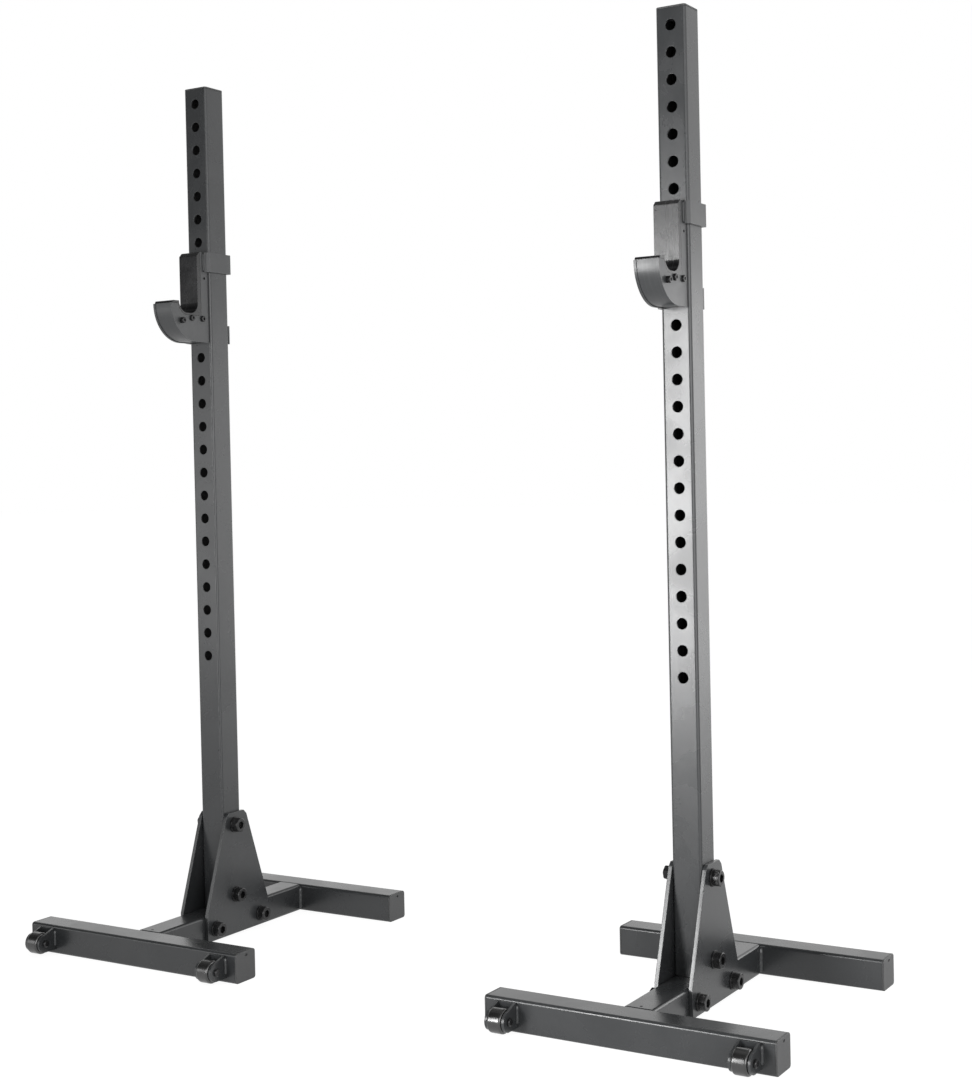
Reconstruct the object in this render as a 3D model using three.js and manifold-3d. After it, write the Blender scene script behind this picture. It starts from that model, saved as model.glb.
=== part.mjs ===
// A pair of free-standing squat stands with height-adjustable hooks.
// Millimetres. X runs from one stand to the other, Y from the front to the back, Z up.
// The origin lies on the floor, under the middle of the pair's outer box.
import * as THREE from 'three';
import { mergeVertices } from 'three/addons/utils/BufferGeometryUtils.js';
import Module from 'manifold-3d';

const wasm = await Module();
wasm.setup();

// The pair and its frame of square tube
const standSpacing = 1136;
const standHeight = 1850;
const baseWidth = 561;
const baseDepth = 595;
const tubeSize = 60;
const tubeWall = 3;
const tubeRound = 6;

// Pin holes in the front and rear walls of each upright
const pinHoleDiameter = 21;
const pinHolePitch = 50;
const pinHoleCount = 25;
const firstPinHoleDrop = 35;

// Drain hole in the top of the centre tube
const drainDiameter = 6;
const drainBack = 9;

// Plastic caps in the open tube ends
const capHead = 3.5;
const capPlug = 14;
const capFit = 0.5;

// Gusset plates and the bolts that clamp them
const gussetThickness = 8;
const gussetHeight = 264;
const gussetFloorGap = 6;
const gussetShoulder = 56;
const gussetTopWidth = 70;
const gussetFootWidth = 206;
const gussetCornerCut = 9;
const gussetSetBack = 6;
const baseBoltInset = 27;
const middleBoltRise = 30;
const topBoltDrop = 27;
const boltDiameter = 16;
const boltHeadDiameter = 30;
const boltHeadHeight = 14.5;
const boltHeadChamfer = 2;
const boltSocketAcross = 15;
const boltSocketDepth = 9;
const washerDiameter = 34;
const washerThickness = 3;
const nutAcross = 24;
const nutHeight = 16;
const boltEndLength = 3;

// Transport rollers on the front tube
const rollerEndInset = 47.5;
const rollerDiameter = 45;
const rollerLength = 28;
const rollerRound = 4;
const rollerSideGap = 1;
const rollerBackGap = 1.5;
const rollerFloorGap = 5.5;
const bracketThickness = 5;
const bracketBackThickness = 4;
const bracketTop = 55;
const bracketNoseDiameter = 37;
const axleDiameter = 8;
const axleHeadDiameter = 15;
const axleHeadHeight = 5;
const axleTailDiameter = 12;
const axleTailHeight = 3;

// Hook: heights are measured from the pin that carries it
const hookPinHoleNumber = 9;
const hookTopAbovePin = 75;
const hookWidth = 50;
const hookPlate = 5;
const hookClearance = 0.5;
const spineDepth = 24;
const cupRadius = 79;
const cupLipDepth = 26;
const bandInset = 1.5;
const seatBelowPin = 58;
const seatWidth = 60;
const seatRound = 24;
const spineHoleDiameter = 6;
const spineHoleAbovePin = 19;
const hookPinDiameter = 19;
const hookPinEnd = 5;

// Straps that reach round the upright
const strapThickness = 4;
const strapClearance = 1;
const strapEndInset = 2;
const strapFrontLeg = 9;
const strapJogLength = 5.5;
const upperStrapHeight = 42;
const lowerStrapHeight = 39.5;

// Plastic liner of the hook and its screws
const padThickness = 10;
const padChamfer = 8;
const linerSkin = 5;
const linerLipRise = 6;
const linerLipSetBack = 5;
const linerBlockHeight = 26;
const linerBlockBackGap = 2.5;
const screwDiameter = 8;
const screwHeadDiameter = 13;
const screwHeadChamfer = 1.2;
const frontScrewHeadHeight = 8;
const otherScrewHeadHeight = 4;
const screwSocketAcross = 6;
const screwSocketDepth = 2.5;
const screwEdge = 5.5;
const frontScrewIn = 33;
const frontScrewDrop = 7;
const middleScrewBack = 4;
const rearScrewIn = 19.5;

// Working values shared by all pieces
const seatGap = 0.3;
const weldBite = 1;
const overrun = 5;
const pinHoleSides = 20;
const roundSides = 12;
const turnedSides = 18;
const rollerSides = 24;
const cornerSteps = 3;
const arcSteps = 10;

// Finishes
const framePaint = { color: 0x4b4d50, roughness: 0.55, metalness: 0.35 };
const hookPaint = { color: 0x3d3f42, roughness: 0.5, metalness: 0.35 };
const blackSteel = { color: 0x17181a, roughness: 0.38, metalness: 0.6 };
const capPlastic = { color: 0x3a3b3d, roughness: 0.6, metalness: 0 };
const linerPlastic = { color: 0x141516, roughness: 0.5, metalness: 0 };
const rollerPlastic = { color: 0x0c0c0d, roughness: 0.18, metalness: 0 };

// Places worked out from the sizes above
const halfTube = tubeSize / 2;
const frontTubeY = halfTube - baseDepth / 2;
const rearTubeY = baseDepth / 2 - halfTube;
const crossTubeLength = baseWidth - 2 * (capHead + seatGap);
const uprightBottom = tubeSize + seatGap;
const uprightLength = standHeight - capHead - seatGap - uprightBottom;
const hookPinHeight = standHeight - firstPinHoleDrop - (hookPinHoleNumber - 1) * pinHolePitch;
const gussetInner = halfTube + seatGap;
const gussetOuter = gussetInner + gussetThickness;
const rollerAxisOut = bracketBackThickness + rollerBackGap + rollerDiameter / 2;
const rollerAxisHeight = rollerFloorGap + rollerDiameter / 2;
const rollerAxisY = -baseDepth / 2 - seatGap - rollerAxisOut;
const frontReach = rollerDiameter / 2 - rollerAxisY;
const originSetBack = (frontReach - baseDepth / 2) / 2;

// Turns a geometry into a solid that can be joined and cut
function solidOf(geometry) {
  const bare = new THREE.BufferGeometry();
  bare.setAttribute('position', geometry.getAttribute('position'));
  bare.setIndex(geometry.getIndex());
  const merged = mergeVertices(bare);
  const index = merged.getIndex().array;
  const kept = [];
  for (let i = 0; i < index.length; i += 3) {
    const [a, b, c] = [index[i], index[i + 1], index[i + 2]];
    if (a !== b && b !== c && c !== a) kept.push(a, b, c);
  }
  const vertProperties = new Float32Array(merged.getAttribute('position').array);
  const triVerts = new Uint32Array(kept);
  return new wasm.Manifold(new wasm.Mesh({ numProp: 3, vertProperties, triVerts }));
}

// Turns a solid back into a geometry
function geometryOf(solid) {
  const mesh = solid.getMesh();
  const geometry = new THREE.BufferGeometry();
  geometry.setAttribute('position', new THREE.BufferAttribute(mesh.vertProperties, mesh.numProp));
  geometry.setIndex(new THREE.BufferAttribute(mesh.triVerts, 1));
  geometry.computeVertexNormals();
  return geometry;
}

function piece(name, solid, finish) {
  const mesh = new THREE.Mesh(geometryOf(solid), new THREE.MeshStandardMaterial(finish));
  mesh.name = name;
  return mesh;
}

// A shape drawn in X and Y, extruded along Z about its own middle
function alongZ(shape, length, steps) {
  const options = { depth: length, bevelEnabled: false, curveSegments: steps };
  const geometry = new THREE.ExtrudeGeometry(shape, options);
  return geometry.translate(0, 0, -length / 2);
}

// A shape drawn in Y and Z, extruded along X about its own middle
function alongX(shape, length, steps) {
  const turn = new THREE.Matrix4();
  turn.makeBasis(new THREE.Vector3(0, 1, 0), new THREE.Vector3(0, 0, 1), new THREE.Vector3(1, 0, 0));
  return alongZ(shape, length, steps).applyMatrix4(turn);
}

function polygon(points) {
  return new THREE.Shape(points.map(([u, v]) => new THREE.Vector2(u, v)));
}

function roundedSquare(size, round) {
  const flat = size / 2 - round;
  const shape = new THREE.Shape();
  shape.absarc(flat, flat, round, 0, Math.PI / 2);
  shape.absarc(-flat, flat, round, Math.PI / 2, Math.PI);
  shape.absarc(-flat, -flat, round, Math.PI, 1.5 * Math.PI);
  shape.absarc(flat, -flat, round, 1.5 * Math.PI, 2 * Math.PI);
  return shape;
}

function rodX(diameter, length, sides) {
  return new THREE.CylinderGeometry(diameter / 2, diameter / 2, length, sides).rotateZ(-Math.PI / 2);
}

function rodY(diameter, length, sides) {
  return new THREE.CylinderGeometry(diameter / 2, diameter / 2, length, sides);
}

// A profile of [distance along X, radius] points, turned about the X axis
function turnedX(profile, sides) {
  const points = profile.map(([along, radius]) => new THREE.Vector2(radius, along));
  return new THREE.LatheGeometry(points, sides).rotateZ(-Math.PI / 2);
}

function squareTube(length) {
  const outline = roundedSquare(tubeSize, tubeRound);
  outline.holes.push(roundedSquare(tubeSize - 2 * tubeWall, tubeRound - tubeWall));
  return alongZ(outline, length, cornerSteps);
}

// A plastic cap: its head lies above Z zero and its plug reaches down into the tube
function tubeCap() {
  const plugSize = tubeSize - 2 * (tubeWall + capFit);
  const head = alongZ(roundedSquare(tubeSize, tubeRound), capHead, cornerSteps);
  const plugLength = capPlug + weldBite;
  const plug = alongZ(roundedSquare(plugSize, tubeRound - tubeWall), plugLength, 1);
  head.translate(0, 0, capHead / 2);
  plug.translate(0, 0, weldBite - plugLength / 2);
  return solidOf(head).add(solidOf(plug));
}

// The upright with its pin holes and its two bolt holes
function uprightSolid() {
  const tube = squareTube(uprightLength).translate(0, 0, uprightBottom + uprightLength / 2);
  let solid = solidOf(tube);
  for (let i = 0; i < pinHoleCount; i += 1) {
    const height = standHeight - firstPinHoleDrop - i * pinHolePitch;
    const hole = rodY(pinHoleDiameter, tubeSize + 2 * overrun, pinHoleSides);
    solid = solid.subtract(solidOf(hole.translate(0, 0, height)));
  }
  for (const height of [middleBoltHeight, topBoltHeight]) {
    solid = solid.subtract(boltHole(0, height));
  }
  return solid;
}

function boltHole(y, z) {
  const hole = rodX(boltDiameter + 2 * seatGap, 2 * (gussetOuter + overrun), roundSides);
  return solidOf(hole.translate(0, y, z));
}

// The four bolts of a stand: their names and their places in Y and Z from the upright's middle
const topBoltHeight = gussetFloorGap + gussetHeight - topBoltDrop;
const middleBoltHeight = tubeSize + middleBoltRise;
const baseBoltReach = gussetFootWidth / 2 - baseBoltInset;
const boltPlaces = [
  ['top', 0, topBoltHeight],
  ['middle', 0, middleBoltHeight],
  ['front', gussetSetBack - baseBoltReach, halfTube],
  ['rear', gussetSetBack + baseBoltReach, halfTube],
];

function gussetSolid() {
  const top = gussetFloorGap + gussetHeight;
  const shoulder = gussetFloorGap + gussetShoulder;
  const halfTop = gussetTopWidth / 2;
  const halfFoot = gussetFootWidth / 2;
  const half = [
    [halfFoot, gussetFloorGap],
    [halfFoot, shoulder],
    [halfTop, top - gussetCornerCut],
    [halfTop - gussetCornerCut, top],
  ];
  const other = half.map(([y, z]) => [-y, z]).reverse();
  const outline = [...half, ...other].map(([y, z]) => [y + gussetSetBack, z]);
  let solid = solidOf(alongX(polygon(outline), gussetThickness, arcSteps));
  for (const [, y, z] of boltPlaces) {
    solid = solid.subtract(boltHole(y, z));
  }
  return solid;
}

// A socket-head bolt with its washer: X zero is where the washer meets the gusset
function boltSolid() {
  const headTop = washerThickness + boltHeadHeight;
  const shankEnd = -(2 * (gussetOuter + seatGap) + washerThickness + nutHeight + boltEndLength);
  const profile = [
    [shankEnd, 0],
    [shankEnd, boltDiameter / 2],
    [0, boltDiameter / 2],
    [0, washerDiameter / 2],
    [washerThickness, washerDiameter / 2],
    [washerThickness, boltHeadDiameter / 2],
    [headTop - boltHeadChamfer, boltHeadDiameter / 2],
    [headTop, boltHeadDiameter / 2 - boltHeadChamfer],
    [headTop, 0],
  ];
  const socket = rodX(boltSocketAcross * 2 / Math.sqrt(3), boltSocketDepth + overrun, 6);
  socket.translate(headTop - boltSocketDepth + (boltSocketDepth + overrun) / 2, 0, 0);
  return solidOf(turnedX(profile, turnedSides)).subtract(solidOf(socket));
}

// A nut with its washer, on the -X side: X zero is where the washer meets the gusset
function nutSolid() {
  const reach = washerThickness + nutHeight;
  const hexagon = rodX(nutAcross * 2 / Math.sqrt(3), reach, 6).translate(-reach / 2, 0, 0);
  const washer = rodX(washerDiameter, washerThickness, turnedSides).translate(-washerThickness / 2, 0, 0);
  const bore = rodX(boltDiameter + 2 * seatGap, 2 * (reach + overrun), roundSides);
  return solidOf(hexagon).add(solidOf(washer)).subtract(solidOf(bore));
}

// A roller about its own axis, with a bore for the axle
function rollerSolid() {
  const radius = rollerDiameter / 2;
  const bore = axleDiameter / 2 + seatGap;
  const end = rollerLength / 2;
  const roundShare = 1 - Math.SQRT1_2;
  const inset = rollerRound * roundShare;
  const profile = [
    [-end, bore],
    [-end, radius - rollerRound],
    [inset - end, radius - inset],
    [rollerRound - end, radius],
    [end - rollerRound, radius],
    [end - inset, radius - inset],
    [end, radius - rollerRound],
    [end, bore],
    [-end, bore],
  ];
  return solidOf(turnedX(profile, rollerSides));
}

// A fork that holds a roller: its back lies at Y zero, the roller's axis in front of it
function bracketSolid() {
  const nose = bracketNoseDiameter / 2;
  const width = rollerLength + 2 * (rollerSideGap + bracketThickness);
  const outline = new THREE.Shape();
  outline.moveTo(0, rollerAxisHeight - nose);
  outline.lineTo(0, bracketTop);
  outline.lineTo(-bracketBackThickness, bracketTop);
  outline.absarc(-rollerAxisOut, rollerAxisHeight, nose, Math.PI / 2, 1.5 * Math.PI);
  const room = alongX(forkRoom(), rollerLength + 2 * rollerSideGap, 1);
  const hole = rodX(axleDiameter + 2 * seatGap, width + 2 * overrun, roundSides);
  hole.translate(0, -rollerAxisOut, rollerAxisHeight);
  return solidOf(alongX(outline, width, arcSteps)).subtract(solidOf(room)).subtract(solidOf(hole));
}

function forkRoom() {
  const far = rollerAxisOut + bracketNoseDiameter;
  return polygon([
    [-bracketBackThickness, -overrun],
    [-bracketBackThickness, bracketTop + overrun],
    [-far, bracketTop + overrun],
    [-far, -overrun],
  ]);
}

// A roller axle with a domed head on the +X side and a riveted tail
function axleSolid() {
  const reach = rollerLength / 2 + rollerSideGap + bracketThickness + seatGap;
  const domeShare = 0.45;
  const profile = [
    [-reach - axleTailHeight, 0],
    [-reach - axleTailHeight, axleTailDiameter / 2 * (1 - domeShare / 2)],
    [-reach, axleTailDiameter / 2],
    [-reach, axleDiameter / 2],
    [reach, axleDiameter / 2],
    [reach, axleHeadDiameter / 2],
    [reach + axleHeadHeight * domeShare, axleHeadDiameter / 2],
    [reach + axleHeadHeight, axleHeadDiameter / 2 * (1 - domeShare)],
    [reach + axleHeadHeight, 0],
  ];
  return solidOf(turnedX(profile, turnedSides));
}

// Hook sections in Y and Z, measured from the pin's axis and the upright's middle
const hookBack = -halfTube - hookClearance;
const spineFront = hookBack - spineDepth;
const padBack = spineFront - seatGap;
const padFront = padBack - padThickness;
const lipInner = padFront - seatWidth;
const cupFront = lipInner - cupLipDepth;
const cupCentre = cupFront + cupRadius;
const seatRise = seatRound - seatBelowPin;
const lipTop = seatRise - linerLipRise;
const hookBottom = lipTop - cupRadius;
const frontArcY = lipInner + seatRound;
const rearArcY = padFront - seatRound;

// The edge that the liner lies on, as a path from the lip down to the flat under the seat
function seatEdge(shape, radius, level) {
  const turn = Math.asin((seatRise - level) / radius);
  shape.lineTo(frontArcY - radius * Math.cos(turn), level);
  shape.absarc(frontArcY, seatRise, radius, Math.PI + turn, 1.5 * Math.PI);
}

function sidePlateOutline() {
  const shape = new THREE.Shape();
  shape.moveTo(hookBack, hookTopAbovePin);
  shape.lineTo(spineFront, hookTopAbovePin);
  shape.lineTo(spineFront, seatRise - seatRound - linerSkin - seatGap);
  shape.lineTo(frontArcY, seatRise - seatRound - linerSkin - seatGap);
  const edgeRadius = seatRound + linerSkin + seatGap;
  const turn = Math.asin((seatRise - lipTop) / edgeRadius);
  shape.absarc(frontArcY, seatRise, edgeRadius, 1.5 * Math.PI, Math.PI + turn, true);
  shape.lineTo(cupFront, lipTop);
  shape.absarc(cupCentre, lipTop, cupRadius, Math.PI, 1.5 * Math.PI);
  shape.lineTo(hookBack, hookBottom);
  return shape;
}

// The curved band between the side plates, open at the top and at the back
function bandOutline() {
  const outer = cupRadius - bandInset;
  const inner = outer - hookPlate;
  const shape = new THREE.Shape();
  shape.moveTo(cupCentre - outer, lipTop);
  shape.absarc(cupCentre, lipTop, outer, Math.PI, 1.5 * Math.PI);
  shape.lineTo(hookBack, lipTop - outer);
  shape.lineTo(hookBack, lipTop - inner);
  shape.lineTo(cupCentre, lipTop - inner);
  shape.absarc(cupCentre, lipTop, inner, 1.5 * Math.PI, Math.PI, true);
  return shape;
}

// A strap in plan: out from the spine's side, along the upright and behind it
function strapOutline(side) {
  const inner = halfTube + strapClearance;
  const outer = inner + strapThickness;
  const leg = hookWidth / 2;
  const end = halfTube - strapEndInset;
  const jogEnd = -inner;
  const jogStart = jogEnd - strapJogLength;
  const points = [
    [leg - weldBite, jogStart - strapFrontLeg],
    [leg + strapThickness, jogStart - strapFrontLeg],
    [leg + strapThickness, jogStart - strapThickness / 2],
    [outer, jogEnd - strapThickness / 2],
    [outer, outer],
    [-end, outer],
    [-end, inner],
    [inner, inner],
    [inner, jogEnd],
    [leg - weldBite, jogStart],
  ];
  return polygon(points.map(([x, y]) => [side * x, y]));
}

// The three liner screws: their names, their places in Y and Z and their head heights
const screwLevel = -seatBelowPin - linerSkin - screwEdge;
const screwPlaces = [
  ['front', cupFront + frontScrewIn, screwLevel - frontScrewDrop, frontScrewHeadHeight],
  ['middle', rearArcY + middleScrewBack, screwLevel, otherScrewHeadHeight],
  ['rear', hookBack - rearScrewIn, screwLevel, otherScrewHeadHeight],
];

function screwHole(y, z) {
  const hole = rodX(screwDiameter + 2 * seatGap, hookWidth + 2 * overrun, roundSides);
  return solidOf(hole.translate(0, y, z));
}

// The welded hook: side plates, web, band, straps and pin in one piece
function hookBracketSolid() {
  const plateX = (hookWidth - hookPlate) / 2;
  const innerWidth = hookWidth - 2 * hookPlate + 2 * weldBite;
  const webHeight = hookTopAbovePin + seatBelowPin;
  const web = new THREE.BoxGeometry(innerWidth, hookPlate, webHeight);
  web.translate(0, spineFront + hookPlate / 2, hookTopAbovePin - webHeight / 2);
  let solid = solidOf(web);
  for (const side of [-1, 1]) {
    const plate = alongX(sidePlateOutline(), hookPlate, arcSteps).translate(side * plateX, 0, 0);
    solid = solid.add(solidOf(plate));
  }
  solid = solid.add(solidOf(alongX(bandOutline(), innerWidth, arcSteps)));
  const upper = alongZ(strapOutline(1), upperStrapHeight, 1);
  upper.translate(0, 0, hookTopAbovePin - upperStrapHeight / 2);
  const lower = alongZ(strapOutline(-1), lowerStrapHeight, 1);
  lower.translate(0, 0, hookBottom + lowerStrapHeight / 2);
  solid = solid.add(solidOf(upper)).add(solidOf(lower));
  const pinStart = spineFront + weldBite;
  const pinLength = halfTube + hookPinEnd - pinStart;
  const pin = rodY(hookPinDiameter, pinLength, roundSides).translate(0, pinStart + pinLength / 2, 0);
  solid = solid.add(solidOf(pin));
  const drill = rodX(spineHoleDiameter, hookWidth + 2 * overrun, roundSides);
  drill.translate(0, (hookBack + spineFront) / 2, spineHoleAbovePin);
  solid = solid.subtract(solidOf(drill));
  for (const [, y, z] of screwPlaces) {
    solid = solid.subtract(screwHole(y, z));
  }
  return solid;
}

// The part of the liner that is as wide as the hook: back pad, seat skin and front lip
function linerSkinOutline() {
  const shape = new THREE.Shape();
  shape.moveTo(padBack, hookTopAbovePin);
  shape.lineTo(padFront + padChamfer, hookTopAbovePin);
  shape.lineTo(padFront, hookTopAbovePin - padChamfer);
  shape.lineTo(padFront, seatRise);
  shape.absarc(rearArcY, seatRise, seatRound, 0, -Math.PI / 2, true);
  shape.absarc(frontArcY, seatRise, seatRound, -Math.PI / 2, -Math.PI, true);
  shape.lineTo(cupFront + linerLipSetBack, seatRise);
  shape.lineTo(cupFront + linerLipSetBack, lipTop + seatGap);
  seatEdge(shape, seatRound + linerSkin, lipTop + seatGap);
  shape.lineTo(padBack, -seatBelowPin - linerSkin);
  return shape;
}

// The part of the liner that lies between the side plates
function linerBlockOutline() {
  const radius = cupRadius - bandInset - hookPlate - seatGap;
  const bottom = -seatBelowPin - linerBlockHeight;
  const turn = Math.asin((lipTop - bottom) / radius);
  const top = -seatBelowPin - linerSkin;
  const shape = new THREE.Shape();
  shape.moveTo(hookBack - linerBlockBackGap, bottom);
  shape.lineTo(hookBack - linerBlockBackGap, top);
  shape.lineTo(padBack, top);
  shape.lineTo(padBack, top + weldBite);
  shape.lineTo(frontArcY, top + weldBite);
  const edgeRadius = seatRound + linerSkin - weldBite;
  const level = lipTop + seatGap;
  const edgeTurn = Math.asin((seatRise - level) / edgeRadius);
  shape.absarc(frontArcY, seatRise, edgeRadius, 1.5 * Math.PI, Math.PI + edgeTurn, true);
  shape.lineTo(cupCentre - radius, level);
  shape.absarc(cupCentre, lipTop, radius, Math.PI, Math.PI + turn);
  return shape;
}

function hookLinerSolid() {
  const blockWidth = hookWidth - 2 * (hookPlate + seatGap);
  const skin = solidOf(alongX(linerSkinOutline(), hookWidth, arcSteps));
  const block = solidOf(alongX(linerBlockOutline(), blockWidth, arcSteps));
  let solid = skin.add(block);
  for (const [, y, z] of screwPlaces) {
    solid = solid.subtract(screwHole(y, z));
  }
  return solid;
}

// A liner screw: X zero is where its head meets the side plate
function screwSolid(headHeight) {
  const profile = [
    [-hookWidth - seatGap, 0],
    [-hookWidth - seatGap, screwDiameter / 2],
    [0, screwDiameter / 2],
    [0, screwHeadDiameter / 2],
    [headHeight - screwHeadChamfer, screwHeadDiameter / 2],
    [headHeight, screwHeadDiameter / 2 - screwHeadChamfer],
    [headHeight, 0],
  ];
  const socket = rodX(screwSocketAcross * 2 / Math.sqrt(3), screwSocketDepth + overrun, 6);
  socket.translate(headHeight - screwSocketDepth + (screwSocketDepth + overrun) / 2, 0, 0);
  return solidOf(turnedX(profile, turnedSides)).subtract(solidOf(socket));
}

// The welded base with its caps
function addBase(stand, name) {
  const crossTube = solidOf(squareTube(crossTubeLength).rotateY(Math.PI / 2));
  for (const [end, y] of [['front', frontTubeY], ['rear', rearTubeY]]) {
    const tube = piece(`${name}_base_${end}_tube`, crossTube, framePaint);
    tube.position.set(0, y, halfTube);
    stand.add(tube);
    for (const [sideName, side] of [['left', -1], ['right', 1]]) {
      const cap = piece(`${name}_cap_${end}_${sideName}`, tubeCap(), capPlastic);
      cap.rotation.y = side * Math.PI / 2;
      cap.position.set(side * (crossTubeLength / 2 + seatGap), y, halfTube);
      stand.add(cap);
    }
  }
  const centreLength = baseDepth - 2 * (tubeSize + seatGap);
  const centreTube = squareTube(centreLength).rotateX(Math.PI / 2).translate(0, 0, halfTube);
  const drain = new THREE.CylinderGeometry(drainDiameter / 2, drainDiameter / 2, halfTube, roundSides);
  drain.rotateX(Math.PI / 2).translate(0, drainBack - centreLength / 2, tubeSize);
  let solid = solidOf(centreTube).subtract(solidOf(drain));
  for (const [, y, z] of boltPlaces.filter(([place]) => place === 'front' || place === 'rear')) {
    solid = solid.subtract(boltHole(y, z));
  }
  stand.add(piece(`${name}_base_centre_tube`, solid, framePaint));
}

function addUpright(stand, name) {
  stand.add(piece(`${name}_upright`, uprightSolid(), framePaint));
  const cap = piece(`${name}_upright_cap`, tubeCap(), capPlastic);
  cap.position.z = uprightBottom + uprightLength + seatGap;
  stand.add(cap);
}

function addGussets(stand, name) {
  for (const [sideName, side] of [['left', -1], ['right', 1]]) {
    const gusset = piece(`${name}_gusset_${sideName}`, gussetSolid(), framePaint);
    gusset.position.x = side * (gussetInner + gussetThickness / 2);
    stand.add(gusset);
  }
  for (const [place, y, z] of boltPlaces) {
    const bolt = piece(`${name}_bolt_${place}`, boltSolid(), blackSteel);
    bolt.position.set(gussetOuter + seatGap, y, z);
    const nut = piece(`${name}_nut_${place}`, nutSolid(), blackSteel);
    nut.position.set(-gussetOuter - seatGap, y, z);
    stand.add(bolt, nut);
  }
}

function addRollers(stand, name) {
  for (const [sideName, side] of [['left', -1], ['right', 1]]) {
    const x = side * (baseWidth / 2 - rollerEndInset);
    const bracket = piece(`${name}_roller_bracket_${sideName}`, bracketSolid(), framePaint);
    bracket.position.set(x, rollerAxisY + rollerAxisOut, 0);
    const roller = piece(`${name}_roller_${sideName}`, rollerSolid(), rollerPlastic);
    const axle = piece(`${name}_roller_axle_${sideName}`, axleSolid(), blackSteel);
    for (const turned of [roller, axle]) {
      turned.position.set(x, rollerAxisY, rollerAxisHeight);
    }
    stand.add(bracket, roller, axle);
  }
}

function addHook(stand, name) {
  const hook = new THREE.Group();
  hook.position.z = hookPinHeight;
  hook.add(piece(`${name}_hook_bracket`, hookBracketSolid(), hookPaint));
  hook.add(piece(`${name}_hook_liner`, hookLinerSolid(), linerPlastic));
  for (const [place, y, z, headHeight] of screwPlaces) {
    const screw = piece(`${name}_hook_screw_${place}`, screwSolid(headHeight), blackSteel);
    screw.position.set(hookWidth / 2 + seatGap, y, z);
    hook.add(screw);
  }
  stand.add(hook);
}

// Both stands are alike and face the same way
const pair = new THREE.Group();
for (const [name, side] of [['left', -1], ['right', 1]]) {
  const stand = new THREE.Group();
  stand.position.set(side * standSpacing / 2, originSetBack, 0);
  addBase(stand, name);
  addUpright(stand, name);
  addGussets(stand, name);
  addRollers(stand, name);
  addHook(stand, name);
  pair.add(stand);
}

export default pair;
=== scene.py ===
import bmesh
import bpy
import math
from mathutils import Euler, Matrix, Vector


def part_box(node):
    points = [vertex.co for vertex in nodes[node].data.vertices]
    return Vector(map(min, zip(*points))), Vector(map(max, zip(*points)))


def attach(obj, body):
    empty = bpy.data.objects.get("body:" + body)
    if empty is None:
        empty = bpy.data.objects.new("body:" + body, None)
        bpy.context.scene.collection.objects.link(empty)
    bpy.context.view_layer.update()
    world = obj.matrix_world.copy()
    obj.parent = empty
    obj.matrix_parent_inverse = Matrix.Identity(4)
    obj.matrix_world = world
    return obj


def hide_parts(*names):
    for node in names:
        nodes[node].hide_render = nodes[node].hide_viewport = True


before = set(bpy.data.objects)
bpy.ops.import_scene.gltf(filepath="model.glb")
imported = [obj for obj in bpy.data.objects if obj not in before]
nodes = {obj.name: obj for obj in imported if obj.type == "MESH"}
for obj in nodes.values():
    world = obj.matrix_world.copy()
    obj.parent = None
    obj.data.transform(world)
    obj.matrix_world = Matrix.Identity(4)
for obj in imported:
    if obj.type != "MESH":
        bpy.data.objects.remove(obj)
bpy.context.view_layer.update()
bpy.ops.object.select_all(action="DESELECT")
print("frame loaded,", len(nodes), "nodes")

sides = ("left", "right")
mm = 0.001


# Modelling helpers: the active object is shaped in edit mode
def startPiece(name):
    piece = bpy.context.object
    piece.name = piece.data.name = name
    bpy.ops.object.transform_apply(location=True, rotation=True, scale=True)
    return piece


def editMode(kind):
    bpy.ops.object.mode_set(mode="EDIT")
    bpy.ops.mesh.select_mode(type=kind)
    bpy.ops.mesh.select_all(action="DESELECT")


def objectMode():
    bpy.ops.object.mode_set(mode="OBJECT")


# Faces are picked by their middles and normals, edges by their middles and directions
def pickFaces(piece, wanted):
    editMode("FACE")
    mesh = bmesh.from_edit_mesh(piece.data)
    for face in mesh.faces:
        if wanted(face.calc_center_median(), face.normal):
            face.select_set(True)
    mesh.select_flush_mode()
    bmesh.update_edit_mesh(piece.data)


def pickEdges(piece, wanted):
    editMode("EDGE")
    mesh = bmesh.from_edit_mesh(piece.data)
    for edge in mesh.edges:
        start, end = (corner.co for corner in edge.verts)
        if wanted((start + end) / 2, (end - start).normalized()):
            edge.select_set(True)
    mesh.select_flush_mode()
    bmesh.update_edit_mesh(piece.data)


# A direction along Z, as on the posts of a box, or across it, as on its rims
def alongZ(direction):
    return abs(direction.z) > 0.9


def acrossZ(direction):
    return abs(direction.z) < 0.5


def only(piece):
    bpy.ops.object.select_all(action="DESELECT")
    piece.select_set(True)
    bpy.context.view_layer.objects.active = piece


# A tool is cut away from the piece, or the piece is cut down to what both share
def cutAway(piece, tool, operation="DIFFERENCE"):
    only(piece)
    cut = piece.modifiers.new("cut", "BOOLEAN")
    cut.operation = operation
    cut.solver = "EXACT"
    cut.object = tool
    bpy.ops.object.modifier_apply(modifier=cut.name)
    bpy.data.objects.remove(tool)


def joinPieces(first, *others):
    only(first)
    for other in others:
        other.select_set(True)
    bpy.ops.object.join()


# Small rounds on every edge sharper than the limit in degrees, baked into the mesh
def roundEdges(piece, width, limit=45):
    only(piece)
    bevel = piece.modifiers.new("round", "BEVEL")
    bevel.width = width
    bevel.segments = 2
    bevel.limit_method = "ANGLE"
    bevel.angle_limit = math.radians(limit)
    bpy.ops.object.modifier_apply(modifier=bevel.name)


def smooth(piece, angle=50):
    only(piece)
    bpy.ops.object.shade_smooth_by_angle(angle=math.radians(angle))
    weighted = piece.modifiers.new("normals", "WEIGHTED_NORMAL")
    weighted.keep_sharp = True
    bpy.ops.object.select_all(action="DESELECT")


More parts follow.
